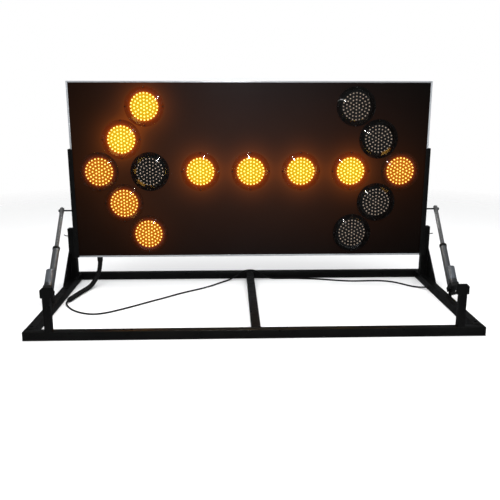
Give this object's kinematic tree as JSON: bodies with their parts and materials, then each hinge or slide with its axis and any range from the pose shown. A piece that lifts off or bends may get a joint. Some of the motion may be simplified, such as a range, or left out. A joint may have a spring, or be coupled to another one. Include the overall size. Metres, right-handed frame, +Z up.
{
  "type": "arrow board",
  "caption": "Folding LED arrow board on a flat steel tube base, hinged at its foot and tilted by an electric linear actuator at each end.",
  "frame": {"origin": "middle of the base's footprint, on the ground", "axes": "+X along the board to the right as seen from the lamps' side, +Y from the lamp face to the back, +Z up"},
  "size_m": [1.98, 0.926, 1.047],
  "materials": {
    "black_steel": "satin black powder coat",
    "cap_plastic": "moulded black plastic",
    "black_rubber": "matte rubber",
    "bush_bronze": "plain sintered bronze",
    "zinc_steel": "zinc plated",
    "dark_steel": "blackened",
    "trim_aluminium": "satin mill finish",
    "face_paint": "smooth black-brown coat",
    "back_paint": "satin black coat",
    "lamp_plastic": "moulded black plastic",
    "circuit_board": "black solder mask",
    "lamp_cover": "clear moulded cover",
    "led_lit": "lit amber resin",
    "led_dark": "pale clear resin, unlit",
    "gear_case": "black cast housing",
    "motor_can": "satin silver",
    "barrel_tube": "satin anodised",
    "collar_plastic": "moulded black plastic",
    "rod_steel": "polished",
    "nut_plastic": "natural acetal",
    "conduit_plastic": "corrugated black conduit",
    "lead_jacket": "smooth black jacket"
  },
  "bodies": {
    "base": {"front_rail": "black_steel", "rear_rail": "black_steel", "centre_rail": "black_steel", "left_side_rail": "black_steel", "right_side_rail": "black_steel", "rail_end_caps": "cap_plastic", "front_posts": "black_steel", "cradles": "black_steel", "cradle_pads": "black_rubber", "rear_posts": "black_steel", "post_caps": "cap_plastic", "hinge_bushes": "bush_bronze", "gusset_plates": "black_steel", "actuator_lugs": "black_steel", "lower_pivot_pins": "zinc_steel", "conduit": "conduit_plastic", "conduit_end_fitting": "conduit_plastic", "actuator_lead": "lead_jacket", "rail_grommet": "black_rubber"},
    "board": {"hinge_pins": "dark_steel", "hinge_washers": "zinc_steel", "pin_hooks": "zinc_steel", "bottom_frame": "trim_aluminium", "right_frame": "trim_aluminium", "top_frame": "trim_aluminium", "left_frame": "trim_aluminium", "face_panel": "face_paint", "back_panel": "back_paint", "back_screws": "zinc_steel", "panel_ribs": "trim_aluminium", "corner_cleats": "trim_aluminium", "flasher_box": "cap_plastic", "left_arm": "black_steel", "right_arm": "black_steel", "arm_bolts": "zinc_steel", "actuator_studs": "dark_steel", "lamp_housings": "lamp_plastic", "lamp_circuit_boards": "circuit_board", "lamp_covers": "lamp_cover", "lamp_screws": "zinc_steel", "lit_leds": "led_lit", "unlit_leds": "led_dark", "board_gland": "cap_plastic"},
    "left_actuator": {"left_gearbox": "gear_case", "left_motor": "motor_can", "left_barrel": "barrel_tube", "left_barrel_collar": "collar_plastic"},
    "left_screw": {"left_lead_screw": "dark_steel"},
    "left_rod": {"left_piston_rod": "rod_steel", "left_drive_nut": "nut_plastic", "left_pivot_bolt": "zinc_steel"},
    "right_actuator": {"right_gearbox": "gear_case", "right_motor": "motor_can", "right_barrel": "barrel_tube", "right_barrel_collar": "collar_plastic"},
    "right_screw": {"right_lead_screw": "dark_steel"},
    "right_rod": {"right_piston_rod": "rod_steel", "right_drive_nut": "nut_plastic", "right_pivot_bolt": "zinc_steel"}
  },
  "joints": [
    {"name": "board_tilt", "type": "hinge", "parent": "base", "child": "board", "pos_m": [0, 0.354, 0.262], "axis": [1, 0, 0], "range_deg": [0, 90]},
    {"name": "left_actuator_swing", "type": "hinge", "parent": "base", "child": "left_actuator", "pos_m": [-0.97, -0.014, 0.045], "axis": [1, 0, 0], "range_deg": [-9.4, 0]},
    {"name": "left_rod_slide", "type": "slide", "parent": "left_actuator", "child": "left_rod", "axis": [0, 0.6767, 0.7363], "range_m": [-0.198, 0]},
    {"name": "left_screw_spin", "type": "hinge", "parent": "left_actuator", "child": "left_screw", "pos_m": [-0.97, -0.014, 0.045], "axis": [0, 0.6767, 0.7363], "range_deg": [0, 17900]},
    {"name": "right_actuator_swing", "type": "hinge", "parent": "base", "child": "right_actuator", "pos_m": [0.97, -0.014, 0.045], "axis": [1, 0, 0], "range_deg": [-9.4, 0]},
    {"name": "right_rod_slide", "type": "slide", "parent": "right_actuator", "child": "right_rod", "axis": [0, 0.6767, 0.7363], "range_m": [-0.198, 0]},
    {"name": "right_screw_spin", "type": "hinge", "parent": "right_actuator", "child": "right_screw", "pos_m": [0.97, -0.014, 0.045], "axis": [0, 0.6767, 0.7363], "range_deg": [0, 17900]}
  ],
  "couplings": [
    {"joint": "left_actuator_swing", "follows": "board_tilt", "ratio": -0.10351},
    {"joint": "left_rod_slide", "follows": "board_tilt", "m_per_rad": -0.12589},
    {"joint": "left_screw_spin", "follows": "board_tilt", "ratio": 197.75},
    {"joint": "right_actuator_swing", "follows": "board_tilt", "ratio": -0.10351},
    {"joint": "right_rod_slide", "follows": "board_tilt", "m_per_rad": -0.12589},
    {"joint": "right_screw_spin", "follows": "board_tilt", "ratio": 197.75}
  ]
}
